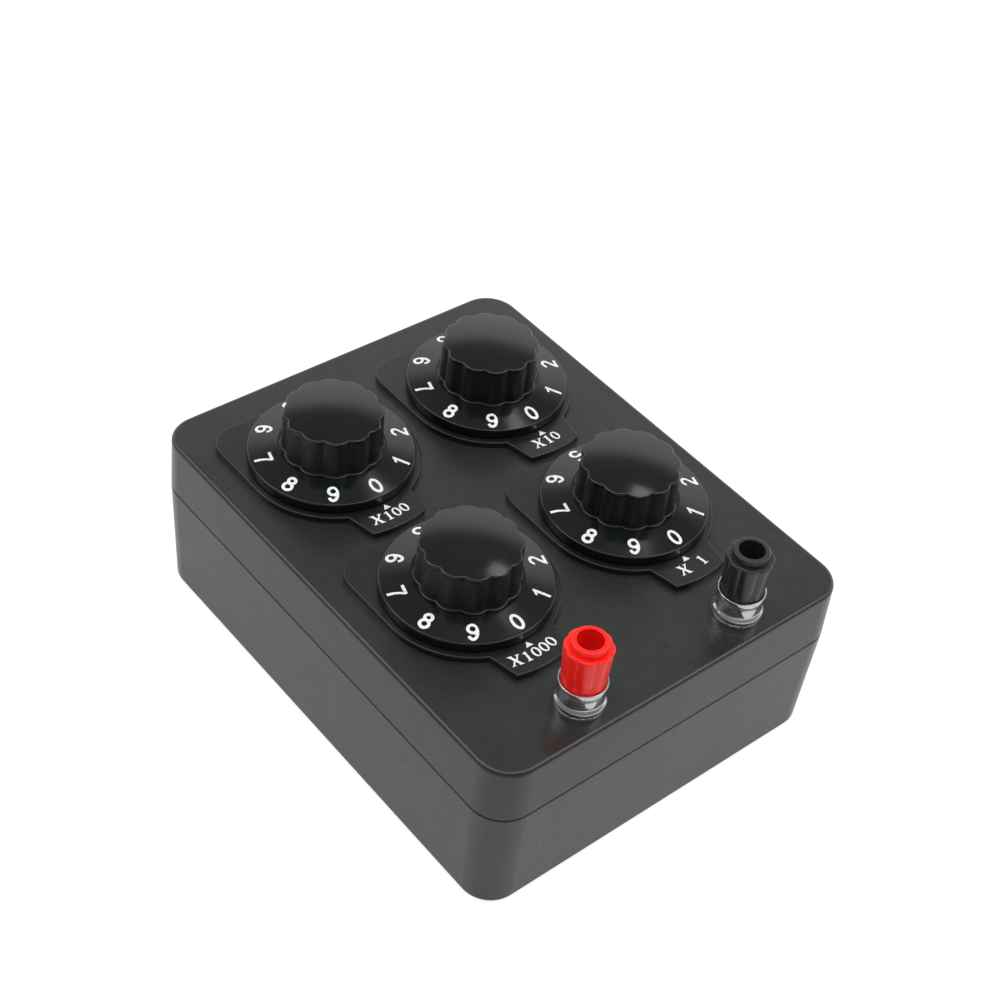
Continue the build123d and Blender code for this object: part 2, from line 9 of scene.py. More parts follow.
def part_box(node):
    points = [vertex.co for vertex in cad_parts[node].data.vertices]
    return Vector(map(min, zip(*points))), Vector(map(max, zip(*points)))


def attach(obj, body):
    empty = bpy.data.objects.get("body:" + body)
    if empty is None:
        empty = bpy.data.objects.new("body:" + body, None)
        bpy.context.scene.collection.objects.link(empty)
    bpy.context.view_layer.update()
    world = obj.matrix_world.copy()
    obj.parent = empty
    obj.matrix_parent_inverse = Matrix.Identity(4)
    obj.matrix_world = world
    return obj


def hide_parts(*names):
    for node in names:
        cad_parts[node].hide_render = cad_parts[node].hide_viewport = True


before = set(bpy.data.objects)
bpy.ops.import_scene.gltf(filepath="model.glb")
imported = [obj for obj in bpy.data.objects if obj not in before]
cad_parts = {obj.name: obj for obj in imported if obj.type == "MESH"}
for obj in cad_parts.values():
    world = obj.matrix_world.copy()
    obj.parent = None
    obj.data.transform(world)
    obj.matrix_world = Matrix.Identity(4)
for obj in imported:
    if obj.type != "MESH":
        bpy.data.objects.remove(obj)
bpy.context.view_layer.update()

MM = 0.001
DIALS = ("x1", "x10", "x100", "x1000")
TERMINALS = ("red", "black")


def middle(node):
    """Upright axis of a round node, as x and y in metres"""
    low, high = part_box(node)
    return (low.x + high.x) / 2, (low.y + high.y) / 2


dial_axis = {name: middle(f"switch_wafer_{name}") for name in DIALS}
terminal_axis = {name: middle(f"terminal_collar_{name}") for name in TERMINALS}
panel_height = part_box("case_lid")[1].z
plate_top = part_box("dial_plate_x1")[1].z


# Camera, solved from the case's outline and seam, the skirts, the plates and the digits in the photograph

IMAGE_WIDTH = 1001
SENSOR_WIDTH = 36.0
FOCAL_PIXELS = 1914.4
CAMERA_PLACE = Vector((258.48, -251.40, 389.72)) * MM
CAMERA_AZIMUTH = math.radians(45.71)
CAMERA_ELEVATION = math.radians(43.149)
CAMERA_ROLL = math.radians(7.518)
NEAREST_SEEN = 0.01
FURTHEST_SEEN = 50

forward = Vector((
    -math.sin(CAMERA_AZIMUTH) * math.cos(CAMERA_ELEVATION),
    math.cos(CAMERA_AZIMUTH) * math.cos(CAMERA_ELEVATION),
    -math.sin(CAMERA_ELEVATION),
))
level = Vector((math.cos(CAMERA_AZIMUTH), math.sin(CAMERA_AZIMUTH), 0))
upward = level.cross(forward)
camera_right = level * math.cos(CAMERA_ROLL) + upward * math.sin(CAMERA_ROLL)
camera_up = upward * math.cos(CAMERA_ROLL) - level * math.sin(CAMERA_ROLL)

camera_data = bpy.data.cameras.new("camera")
camera_data.sensor_width = SENSOR_WIDTH
camera_data.lens = FOCAL_PIXELS / IMAGE_WIDTH * SENSOR_WIDTH
camera_data.clip_start = NEAREST_SEEN
camera_data.clip_end = FURTHEST_SEEN
camera = bpy.data.objects.new("camera", camera_data)
bpy.context.scene.collection.objects.link(camera)
turn = Matrix((camera_right, camera_up, -forward)).transposed().to_4x4()
camera.matrix_world = Matrix.Translation(CAMERA_PLACE) @ turn
bpy.context.scene.camera = camera


# Materials. Lengths are in millimetres. A noise seldom leaves 0.3 to 0.7, so the ranges stretch that part

# Sockets of a Mix node, which have no names of their own
MIX_A = 2
MIX_B = 3
MIX_COLOUR_A = 6
MIX_COLOUR_B = 7
MIX_COLOUR = 2

# Marks on moulded plastic: drifts of shade, patches rubbed by hands, and the dust that lies on it, whose
# specks have radii that are shares of their spacing
FLOW_MARK = 16
HANDLING_MARK = 5
SPECK_SPACING = 4.2
SPECKS_LEFT_OUT = 0.86
SPECK_SMALL = 0.012
SPECK_LARGE = 0.034
DUST = "#9A9C9A"

# Dull wall of a knob's grip, from its foot to its rim, as heights over the panel
GRIP_FOOT = 6.2
GRIP_RIM = 16.2
GRIP_ROUGHNESS = 0.5

# Streaks on metal are six times as long as high, and its sheen varies in patches
STREAK_FLATNESS = 6
SHEEN_PATCH = 3

# Scale of the fibres' pattern along the board, below 1 so that they lie lengthwise
FIBRE_STRETCH = 0.35

# The collar is hazy at its foot and clears up between two heights over the panel, apart from faint clouds
HAZY_BELOW = 0.6
CLEAR_ABOVE = 1.4
FOOT_CLEARNESS = 0.8
CLOUD_CLEARNESS = 0.88
CLOUD_WIDTH = 6
HAZE_WIDTH = 2.5
LATHE_RING = 0.5
RING_STRETCH = 0.2

# Spots where a print is thin
THIN_SPOT = 0.5


def paint(code):
    """Linear colour from an sRGB hex code"""
    channels = [int(code[i:i + 2], 16) / 255 for i in (1, 3, 5)]
    linear = [c / 12.92 if c <= 0.04045 else ((c + 0.055) / 1.055) ** 2.4 for c in channels]
    return (*linear, 1.0)


def per_mm(size):
    """Texture scale at which one feature of a pattern measures this many millimetres"""
    return 1 / (size * MM)


def put(tree, kind, inputs=None, **settings):
    """Add a node: its settings, then its inputs, each a value or another node's output"""
    node = tree.nodes.new(kind)
    for setting, value in settings.items():
        setattr(node, setting, value)
    for socket, value in (inputs or {}).items():
        if isinstance(value, bpy.types.NodeSocket):
            tree.links.new(value, node.inputs[socket])
        else:
            node.inputs[socket].default_value = value
    return node


def start(name):
    """An empty material, its nodes, and where on the piece each point is"""
    material = bpy.data.materials.new(name)
    material.use_nodes = True
    tree = material.node_tree
    tree.nodes.clear()
    place = put(tree, "ShaderNodeTexCoord").outputs["Object"]
    return material, tree, place


def moulded(name, dark, light, ior, roughness, smudge, grain, depth, specks=0.0, dull_wall=None):
    """Injection-moulded plastic: the tool's fine grain, uneven gloss where hands and flow
    have been, faint changes of shade, and where asked a few dust specks and a duller wall"""
    material, tree, place = start(name)
    flow = put(tree, "ShaderNodeTexNoise", {"Vector": place, "Scale": per_mm(FLOW_MARK), "Detail": 4,
                                            "Roughness": 0.6})
    rub = put(tree, "ShaderNodeTexNoise", {"Vector": place, "Scale": per_mm(HANDLING_MARK), "Detail": 6,
                                           "Roughness": 0.65, "Distortion": 0.6})
    texture = put(tree, "ShaderNodeTexNoise", {"Vector": place, "Scale": per_mm(grain), "Detail": 2})
    shade = put(tree, "ShaderNodeMapRange", {"Value": flow.outputs[0], "From Min": 0.35, "From Max": 0.68})
    colour = put(tree, "ShaderNodeMix", {"Factor": shade.outputs[0], MIX_COLOUR_A: paint(dark),
                                         MIX_COLOUR_B: paint(light)}, data_type="RGBA").outputs[MIX_COLOUR]
    rough = put(tree, "ShaderNodeMapRange", {"Value": rub.outputs[0], "From Min": 0.3, "From Max": 0.7,
                                             "To Min": roughness - smudge,
                                             "To Max": roughness + smudge}).outputs[0]
    if dull_wall:
        foot, rim, dull = dull_wall
        height = put(tree, "ShaderNodeSeparateXYZ", {0: place}).outputs["Z"]
        above = put(tree, "ShaderNodeMath", {0: height, 1: panel_height + foot * MM},
                    operation="GREATER_THAN")
        below = put(tree, "ShaderNodeMath", {0: height, 1: panel_height + rim * MM}, operation="LESS_THAN")
        wall = put(tree, "ShaderNodeMath", {0: above.outputs[0], 1: below.outputs[0]}, operation="MULTIPLY")
        rough = put(tree, "ShaderNodeMix", {"Factor": wall.outputs[0], MIX_A: rough, MIX_B: dull}).outputs[0]
    if specks:
        cells = put(tree, "ShaderNodeTexVoronoi", {"Vector": place, "Scale": per_mm(SPECK_SPACING),
                                                   "Randomness": 1.0})
        pick = put(tree, "ShaderNodeSeparateColor", {"Color": cells.outputs["Color"]})
        chosen = put(tree, "ShaderNodeMath", {0: pick.outputs[0], 1: SPECKS_LEFT_OUT},
                     operation="GREATER_THAN")
        size = put(tree, "ShaderNodeMapRange", {"Value": pick.outputs[1], "To Min": SPECK_SMALL,
                                                "To Max": SPECK_LARGE})
        near = put(tree, "ShaderNodeMath", {0: cells.outputs["Distance"], 1: size.outputs[0]},
                   operation="LESS_THAN")
        dot = put(tree, "ShaderNodeMath", {0: near.outputs[0], 1: chosen.outputs[0]}, operation="MULTIPLY")
        faint = put(tree, "ShaderNodeMath", {0: dot.outputs[0], 1: specks}, operation="MULTIPLY")
        colour = put(tree, "ShaderNodeMix", {"Factor": faint.outputs[0], MIX_COLOUR_A: colour,
                                             MIX_COLOUR_B: paint(DUST)}, data_type="RGBA").outputs[MIX_COLOUR]
    bump = put(tree, "ShaderNodeBump", {"Height": texture.outputs[0], "Strength": 0.35,
                                        "Distance": depth * MM})
    shader = put(tree, "ShaderNodeBsdfPrincipled", {"Base Color": colour, "Roughness": rough, "IOR": ior,
                                                    "Normal": bump.outputs[0]})
    put(tree, "ShaderNodeOutputMaterial", {"Surface": shader.outputs[0]})
    return material


def metal(name, dark, light, roughness, scratch, depth):
    """Turned, stamped or plated metal: fine marks that lie level round it and a slightly uneven sheen"""
    material, tree, place = start(name)
    squashed = put(tree, "ShaderNodeMapping", {"Vector": place, "Scale": (1, 1, STREAK_FLATNESS)})
    marks = put(tree, "ShaderNodeTexNoise", {"Vector": squashed.outputs[0], "Scale": per_mm(scratch),
                                             "Detail": 3})
    haze = put(tree, "ShaderNodeTexNoise", {"Vector": place, "Scale": per_mm(SHEEN_PATCH), "Detail": 4})
    shade = put(tree, "ShaderNodeMapRange", {"Value": haze.outputs[0], "From Min": 0.35, "From Max": 0.65})
    colour = put(tree, "ShaderNodeMix", {"Factor": shade.outputs[0], MIX_COLOUR_A: paint(dark),
                                         MIX_COLOUR_B: paint(light)}, data_type="RGBA")
    rough = put(tree, "ShaderNodeMapRange", {"Value": haze.outputs[0], "From Min": 0.3, "From Max": 0.7,
                                             "To Min": roughness * 0.75, "To Max": roughness * 1.3})
    bump = put(tree, "ShaderNodeBump", {"Height": marks.outputs[0], "Strength": 0.4, "Distance": depth * MM})
    shader = put(tree, "ShaderNodeBsdfPrincipled", {"Base Color": colour.outputs[MIX_COLOUR], "Metallic": 1.0,
                                                    "Roughness": rough.outputs[0], "Normal": bump.outputs[0]})
    put(tree, "ShaderNodeOutputMaterial", {"Surface": shader.outputs[0]})
    return material


def layered(name, dark, light, roughness, fibre, depth):
    """Pressed laminate, lacquer or sleeve: short fibres or speckle under a dull skin"""
    material, tree, place = start(name)
    drawn_out = put(tree, "ShaderNodeMapping", {"Vector": place, "Scale": (FIBRE_STRETCH, 1, 1)})
    weave = put(tree, "ShaderNodeTexNoise", {"Vector": drawn_out.outputs[0], "Scale": per_mm(fibre),
                                             "Detail": 5})
    shade = put(tree, "ShaderNodeMapRange", {"Value": weave.outputs[0], "From Min": 0.38, "From Max": 0.64})
    colour = put(tree, "ShaderNodeMix", {"Factor": shade.outputs[0], MIX_COLOUR_A: paint(dark),
                                         MIX_COLOUR_B: paint(light)}, data_type="RGBA")
    rough = put(tree, "ShaderNodeMapRange", {"Value": weave.outputs[0], "To Min": roughness - 0.08,
                                             "To Max": roughness + 0.1})
    bump = put(tree, "ShaderNodeBump", {"Height": weave.outputs[0], "Strength": 0.3, "Distance": depth * MM})
    shader = put(tree, "ShaderNodeBsdfPrincipled", {"Base Color": colour.outputs[MIX_COLOUR], "IOR": 1.55,
                                                    "Roughness": rough.outputs[0], "Normal": bump.outputs[0]})
    put(tree, "ShaderNodeOutputMaterial", {"Surface": shader.outputs[0]})
    return material


def clear_acrylic(name):
    """Clear acrylic turned and polished: see-through, with cloudy patches, a hazy foot and faint lathe
    rings, coarser than real. Half metallic, for the silvery glints that it gathers from its post"""
    material, tree, place = start(name)
    haze = put(tree, "ShaderNodeTexNoise", {"Vector": place, "Scale": per_mm(HAZE_WIDTH), "Detail": 3})
    squashed = put(tree, "ShaderNodeMapping", {"Vector": place, "Scale": (RING_STRETCH, RING_STRETCH, 1)})
    rings = put(tree, "ShaderNodeTexNoise", {"Vector": squashed.outputs[0], "Scale": per_mm(LATHE_RING),
                                             "Detail": 2})
    cloud = put(tree, "ShaderNodeTexNoise", {"Vector": place, "Scale": per_mm(CLOUD_WIDTH), "Detail": 1})
    clear = put(tree, "ShaderNodeMapRange", {"Value": cloud.outputs[0], "From Min": 0.4, "From Max": 0.6,
                                             "To Min": CLOUD_CLEARNESS, "To Max": 1.0})
    height = put(tree, "ShaderNodeSeparateXYZ", {0: place}).outputs["Z"]
    neck = put(tree, "ShaderNodeMapRange", {"Value": height, "From Min": panel_height + HAZY_BELOW * MM,
                                            "From Max": panel_height + CLEAR_ABOVE * MM})
    through = put(tree, "ShaderNodeMix", {"Factor": neck.outputs[0], MIX_A: FOOT_CLEARNESS,
                                          MIX_B: clear.outputs[0]})
    rough = put(tree, "ShaderNodeMapRange", {"Value": haze.outputs[0], "To Min": 0.02, "To Max": 0.09})
    bump = put(tree, "ShaderNodeBump", {"Height": rings.outputs[0], "Strength": 0.25, "Distance": 0.02 * MM})
    shader = put(tree, "ShaderNodeBsdfPrincipled", {"Base Color": paint("#F8F9F9"), "IOR": 1.49,
                                                    "Metallic": 0.5,
                                                    "Transmission Weight": through.outputs[0],
                                                    "Roughness": rough.outputs[0], "Normal": bump.outputs[0]})
    put(tree, "ShaderNodeOutputMaterial", {"Surface": shader.outputs[0]})
    return material


def printing_ink(name):
    """White pad-printing ink: matt, and greyer in small spots where it lies thin"""
    material, tree, place = start(name)
    thin = put(tree, "ShaderNodeTexNoise", {"Vector": place, "Scale": per_mm(THIN_SPOT), "Detail": 4,
                                            "Roughness": 0.7})
    cover = put(tree, "ShaderNodeMapRange", {"Value": thin.outputs[0], "From Min": 0.3, "From Max": 0.5})
    colour = put(tree, "ShaderNodeMix", {"Factor": cover.outputs[0], MIX_COLOUR_A: paint("#B9BEC0"),
                                         MIX_COLOUR_B: paint("#F2F4F5")}, data_type="RGBA")
    bump = put(tree, "ShaderNodeBump", {"Height": thin.outputs[0], "Strength": 0.3, "Distance": 0.02 * MM})
    shader = put(tree, "ShaderNodeBsdfPrincipled", {"Base Color": colour.outputs[MIX_COLOUR], "IOR": 1.5,
                                                    "Roughness": 0.55, "Normal": bump.outputs[0]})
    put(tree, "ShaderNodeOutputMaterial", {"Surface": shader.outputs[0]})
    return material


# The grain that a tool leaves is about 0.1 mm wide. It is drawn at 0.45 to 0.8 mm, so that it shows

# ABS case: charcoal black, satin from a lightly eroded tool, so that it greys where it catches the room
case_abs = moulded("case_abs_satin", dark="#1D2020", light="#242626", ior=1.54, roughness=0.28, smudge=0.04,
                   grain=0.45, depth=0.012, specks=0.6)
# ABS of the plates under the dials, from a smoother tool: darker, bluer and a little glossier than the case
plate_abs = moulded("plate_abs_gloss", dark="#15181A", light="#1B1E1F", ior=1.54, roughness=0.24, smudge=0.04,
                    grain=0.6, depth=0.012, specks=0.45)
# Knobs moulded in a polished tool: deep black skin that carries soft reflections, duller on the fluted wall
knob_plastic = moulded("knob_abs_polished", dark="#0A0D0E", light="#101415", ior=1.5, roughness=0.13,
                       smudge=0.03, grain=0.7, depth=0.006, specks=0.5,
                       dull_wall=(GRIP_FOOT, GRIP_RIM, GRIP_ROUGHNESS))
# Terminal caps moulded in dyed ABS: full red and soft black, with a broad sheen along the flutes
red_cap = moulded("red_abs_moulded", dark="#F41106", light="#FE1E0B", ior=1.48, roughness=0.3, smudge=0.05,
                  grain=0.8, depth=0.015)
black_cap = moulded("black_abs_moulded", dark="#1A1D1F", light="#212527", ior=1.52, roughness=0.32,
                    smudge=0.05, grain=0.8, depth=0.015)
acrylic = clear_acrylic("clear_acrylic_turned")

# The marks that a lathe leaves are drawn 0.3 to 0.4 mm long and a sixth of that high, as level streaks

# Nickel plating on turned and stamped metal: warm and bright, with soft streaks
nickel = metal("nickel_plate_turned", dark="#C9C6BF", light="#E2DFD9", roughness=0.22, scratch=0.4,
               depth=0.01)
# Zinc on turned and stamped steel: cool grey with a duller sheen
steel = metal("steel_zinc_plated", dark="#9CA0A2", light="#B8BCBE", roughness=0.32, scratch=0.3, depth=0.015)
# Thinly silvered brass of contacts, wipers, lugs and inserts: yellow that pales in patches
brass = metal("brass_silvered", dark="#B08D4A", light="#CDB27A", roughness=0.3, scratch=0.3, depth=0.015)

# Paper laminate, pressed: brown board with short fibres, which are drawn much coarser than real
laminate = layered("paper_laminate_brown", dark="#5A3216", light="#7C4A22", roughness=0.42, fibre=0.9,
                   depth=0.04)
# Resistors dipped in lacquer: pale blue with a soft gloss and a faint speckle, drawn coarser than real
lacquer = layered("resistor_lacquer_blue", dark="#5F8CA6", light="#7FA9C0", roughness=0.35, fibre=0.5,
                  depth=0.02)
# Extruded vinyl sleeve of the link wires: deep red and waxy
sleeve = layered("wire_sleeve_vinyl", dark="#A3180F", light="#B8241A", roughness=0.45, fibre=0.6, depth=0.02)
ink = printing_ink("ink_white_pad_printed")

finishes = {
    "case_lid": case_abs, "case_tray": case_abs, "case_screws": steel, "switch_nuts": nickel,
    "terminal_lugs": brass, "terminal_nuts": nickel, "link_wires": sleeve,
}
for name in DIALS:
    finishes.update({
        f"dial_plate_{name}": plate_abs, f"dial_knob_{name}": knob_plastic, f"switch_shaft_{name}": steel,
        f"switch_frame_{name}": nickel, f"index_wheel_{name}": steel, f"detent_spring_{name}": steel,
        f"switch_wafer_{name}": laminate, f"switch_contacts_{name}": brass, f"switch_rotor_{name}": laminate,
        f"switch_wiper_{name}": brass, f"decade_resistors_{name}": lacquer,
    })
for name, cap in (("red", red_cap), ("black", black_cap)):
    finishes.update({
        f"terminal_post_{name}": nickel, f"terminal_collar_{name}": acrylic, f"terminal_insert_{name}": brass,
        f"terminal_cap_{name}": cap,
    })
for node, material in finishes.items():
    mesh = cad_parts[node].data
    if not mesh.materials:
        mesh.materials.append(material)
    for index in range(len(mesh.materials)):
        mesh.materials[index] = material


# Printed characters: outlines in millimetres, upright, centred on their own middle

DIGIT_TOP = 2.35
DIGIT_SIDE = 1.55
STROKE = 0.8

# The bowl of a six, and the upper and lower halves of a three and an eight, which share one stroke
bowl = 1.45
bowl_middle = bowl - DIGIT_TOP
upper_side = 1.36
upper_half = 1.27
upper_middle = DIGIT_TOP - upper_half
lower_half = (2 * DIGIT_TOP + STROKE) / 2 - upper_half
lower_middle = lower_half - DIGIT_TOP


def oval(cx, cy, rx, ry, first=0.0, last=360.0, count=28):
    """Points along an oval or part of one, from one angle to the other in degrees"""
    closed = abs(last - first) >= 360
    steps = count if closed else max(3, round(count * abs(last - first) / 360))
    angles = [math.radians(first + (last - first) * i / steps) for i in range(steps if closed else steps + 1)]
    return [(cx + rx * math.cos(a), cy + ry * math.sin(a)) for a in angles]


def turned_over(loops):
    """The same outlines after half a turn"""
    return [[(-x, -y) for x, y in loop] for loop in loops]


def eight_side(count=30):
    """Right-hand edge of an eight from its foot to its head"""
    points = []
    for i in range(1, count):
        y = -DIGIT_TOP * math.cos(math.pi * i / count)
        reach = 0.0
        for side, half, centre in ((upper_side, upper_half, upper_middle),
                                   (DIGIT_SIDE, lower_half, lower_middle)):
            if abs(y - centre) < half:
                reach = max(reach, side * math.sqrt(1 - ((y - centre) / half) ** 2))
        points.append((reach, y))
    return points


zero = [
    oval(0, 0, DIGIT_SIDE, DIGIT_TOP),
    oval(0, 0, DIGIT_SIDE - STROKE, DIGIT_TOP - STROKE),
]
one = [
    [(0.62, -DIGIT_TOP), (0.62, DIGIT_TOP), (0.06, DIGIT_TOP), (-0.2, 1.95), (-0.6, 1.62), (-1.02, 1.4),
     (-1.02, 0.74), (-0.5, 0.94), (-0.14, 1.16), (-0.14, -DIGIT_TOP)],
]
two = [
    oval(0, 1.02, 1.5, 1.33, 172, -22)
    + [(1.0, 0.0), (0.1, -0.95), (-0.42, -1.62), (1.5, -1.62), (1.5, -DIGIT_TOP), (-1.52, -DIGIT_TOP),
       (-1.42, -1.75), (-1.0, -1.05), (-0.3, -0.35), (0.4, 0.3)]
    + oval(0, 1.02, 0.76, 0.6, -24, 170),
]
three = [
    oval(0, lower_middle, DIGIT_SIDE, lower_half, 190, 268)
    + [point for point in eight_side() if point[0] > 0.4]
    + oval(0, upper_middle, upper_side, upper_half, 92, 166)
    + oval(0, upper_middle, upper_side - STROKE, upper_half - STROKE, 158, -70)
    + [(-0.4, STROKE / 2 + 0.06), (-0.4, -STROKE / 2 + 0.1)]
    + oval(0, lower_middle, DIGIT_SIDE - STROKE, lower_half - STROKE, 72, -165),
]
four = [
    [(0.3, -DIGIT_TOP), (1.0, -DIGIT_TOP), (1.0, -1.4), (1.6, -1.4), (1.6, -0.72), (1.0, -0.72),
     (1.0, DIGIT_TOP), (0.28, DIGIT_TOP), (-1.6, -0.66), (-1.6, -1.4), (0.3, -1.4)],
    [(0.3, -0.72), (-0.86, -0.72), (0.3, 1.2)],
]
five = [
    [(1.3, DIGIT_TOP), (-1.12, DIGIT_TOP), (-1.5, -0.22), (-0.86, -0.3)]
    + oval(-0.02, -0.8, 0.82, 0.84, 140, -152)
    + oval(-0.02, -0.8, 1.57, 1.55, -162, 112)
    + [(-0.66, 0.72), (-0.5, 1.66), (1.3, 1.66)],
]
six = [
    oval(0, 0, DIGIT_SIDE, DIGIT_TOP, 32, 270)
    + oval(0, bowl_middle, DIGIT_SIDE, bowl, 276, 360 + 121)
    + oval(0, 0, DIGIT_SIDE - STROKE, DIGIT_TOP - STROKE, 167, 36),
    oval(0, bowl_middle, DIGIT_SIDE - STROKE, bowl - STROKE * 0.92, count=20),
]
seven = [
    [(-1.55, DIGIT_TOP), (1.55, DIGIT_TOP), (1.55, 1.72), (0.92, 0.72), (0.42, -0.6), (0.2, -DIGIT_TOP),
     (-0.62, -DIGIT_TOP), (-0.38, -0.9), (0.1, 0.36), (0.74, 1.6), (-1.55, 1.6)],
]
eight = [
    [(0, -DIGIT_TOP)] + eight_side() + [(0, DIGIT_TOP)] + [(-x, y) for x, y in eight_side()[::-1]],
    oval(0, upper_middle, upper_side - STROKE, upper_half - STROKE, count=18),
    oval(0, lower_middle, DIGIT_SIDE - STROKE, lower_half - STROKE, count=20),
]
nine = turned_over(six)
DIGITS = (zero, one, two, three, four, five, six, seven, eight, nine)

# The tabs' letters have serifs. A cross is one thick bar and two thin arms, each an outline of its own
cross_thick = [(-1.6, 1.6), (-0.3, 1.6), (-0.3, 1.4), (-0.5, 1.4), (1.3, -1.4), (1.6, -1.4), (1.6, -1.6),
               (0.3, -1.6), (0.3, -1.4), (0.5, -1.4), (-1.3, 1.4), (-1.6, 1.4)]
cross_thin = [(0.24, 0.249), (0.464, -0.1), (1.36, 1.4), (1.6, 1.4), (1.6, 1.6), (0.55, 1.6), (0.55, 1.4),
              (0.9, 1.4)]
TAB_SIGNS = {
    "X": [cross_thick, cross_thin] + turned_over([cross_thin]),
    "1": [[(-0.75, -1.55), (0.75, -1.55), (0.75, -1.38), (0.3, -1.3), (0.3, 1.55), (0.1, 1.55), (-0.72, 1.2),
           (-0.66, 1.0), (-0.3, 1.1), (-0.3, -1.3), (-0.75, -1.38)]],
    "0": [oval(0, 0, 1.12, 1.55, count=24), oval(0, 0, 0.56, 1.24, count=20)],
}
pointer = [[(-1.05, -0.75), (1.05, -0.75), (0, 0.85)]]

# How far a print stands out of its surface, and how far its underside lies below it
PRINT_PROUD = 0.06
PRINT_SINK = 0.05


def print_signs(name, signs, axis, height_at, body):
    """One printed piece: signs are (outlines, radius, angle), their heads towards the axis"""
    ink_mesh = bmesh.new()
    for loops, radius, angle in signs:
        outward = Vector((math.cos(math.radians(angle)), math.sin(math.radians(angle))))
        across = Vector((-outward.y, outward.x))
        flat = []
        rings = []
        for loop in loops:
            ring = []
            for x, y in loop:
                spot = outward * (radius - y) + across * x
                surface = height_at(spot.length)
                east = axis[0] + spot.x * MM
                north = axis[1] + spot.y * MM
                top = ink_mesh.verts.new((east, north, panel_height + (surface + PRINT_PROUD) * MM))
                low = ink_mesh.verts.new((east, north, panel_height + (surface - PRINT_SINK) * MM))
                ring.append((top, low))
            rings.append(ring)
            flat.extend(ring)
        for a, b, c in tessellate_polygon([[Vector((x, y, 0)) for x, y in loop] for loop in loops]):
            ink_mesh.faces.new((flat[a][0], flat[b][0], flat[c][0]))
            ink_mesh.faces.new((flat[c][1], flat[b][1], flat[a][1]))
        for ring in rings:
            for i, (top, low) in enumerate(ring):
                next_top, next_low = ring[(i + 1) % len(ring)]
                ink_mesh.faces.new((top, next_top, next_low, low))
    bmesh.ops.recalc_face_normals(ink_mesh, faces=ink_mesh.faces)
    mesh = bpy.data.meshes.new(name)
    ink_mesh.to_mesh(mesh)
    ink_mesh.free()
    mesh.materials.append(ink)
    piece = bpy.data.objects.new(name, mesh)
    bpy.context.scene.collection.objects.link(piece)
    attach(piece, body)


# Skirt of a knob, as in the CAD: it falls from the crown to the rim. Heights are over the panel
SKIRT_RADIUS = 22.0
SKIRT_RIM_HEIGHT = 4.6
SKIRT_CROWN_RADIUS = 14.2
SKIRT_CROWN_HEIGHT = 6.1
PLATE_THICKNESS = (plate_top - panel_height) / MM

# Where the signs stand: radii from the dial's axis, and angles in degrees from its pointer
DIGIT_RING = 18.6
DIGIT_LEAD = 1.3
DIGIT_STEP = 36
POINTER_RING = 23.4
POINTER_LEAD = 0.8
WORD_RING = 26.4


def skirt_height(radius):
    fall = (SKIRT_CROWN_HEIGHT - SKIRT_RIM_HEIGHT) / (SKIRT_RADIUS - SKIRT_CROWN_RADIUS)
    return SKIRT_CROWN_HEIGHT - fall * (radius - SKIRT_CROWN_RADIUS)


def plate_height(radius):
    return PLATE_THICKNESS


# Signs of each tab, with their angles about the dial's axis
tab_words = {
    "x1": [("X", -5.6), ("1", 8.0)],
    "x10": [("X", -6.4), ("1", 0.6), ("0", 6.2)],
    "x100": [("X", -9.4), ("1", -2.2), ("0", 3.2), ("0", 8.8)],
    "x1000": [("X", -12.0), ("1", -4.9), ("0", 0.9), ("0", 6.5), ("0", 12.1)],
}
for name in DIALS:
    ring = [(loops, DIGIT_RING, DIGIT_STEP * digit + DIGIT_LEAD) for digit, loops in enumerate(DIGITS)]
    print_signs(f"dial_digits_{name}", ring, dial_axis[name], skirt_height, f"dial_{name}")
    word = [(pointer, POINTER_RING, POINTER_LEAD)]
    for sign, angle in tab_words[name]:
        if sign == "X":
            word.extend(([loop], WORD_RING, angle) for loop in TAB_SIGNS[sign])
        else:
            word.append((TAB_SIGNS[sign], WORD_RING, angle))
    print_signs(f"tab_printing_{name}", word, dial_axis[name], plate_height, "case")


# Turned pieces of the terminals: outlines are (radius, height over the panel) in millimetres

TURNED_SIDES = 96

COLLAR_BORE = 4.7
COLLAR_FOOT_RADIUS = 6.45
COLLAR_NECK_RADIUS = 5.75
COLLAR_LIP_RADIUS = 6.1
COLLAR_LIP_BORE = 5.55
COLLAR_STEP = 2.2
COLLAR_NECK_FOOT = 2.9
COLLAR_NECK_TOP = 5.9
COLLAR_SEAT = 7.0
COLLAR_TOP = 8.2
COLLAR_ROUNDING = 0.3

TAIL_RADIUS = 2.0
TAIL_END = -9.0
FLANGE_RADIUS = 4.6
FLANGE_FOOT = -0.02
FLANGE_TOP = 0.8
WAIST_RADIUS = 3.7
WAIST_TOP = 5.6
SHOULDER_RADIUS = 3.0
SHOULDER_HEIGHT = 6.9
POST_TOP = 14.5
SOCKET_RADIUS = 2.0
SOCKET_FLOOR = 2.0
POST_ROUNDING = 0.12

# Rings cut into the waist and into the threaded part. The thread's pitch is 0.8 mm, drawn as level rings
WAIST_RINGS = 4
WAIST_FIRST_RING = 2.8
WAIST_SPACING = 0.7
WAIST_LAND = 0.2
WAIST_CUT = 0.45
WAIST_CUT_RADIUS = 3.3
THREAD_RINGS = 8
THREAD_FIRST_RING = 7.3
THREAD_PITCH = 0.8
THREAD_RADIUS = 2.98
THREAD_ROOT_RADIUS = 2.75
THREAD_CREST = 0.12
THREAD_FLANK = 0.4
THREAD_ROOT = 0.48
THREAD_TOP = 13.8


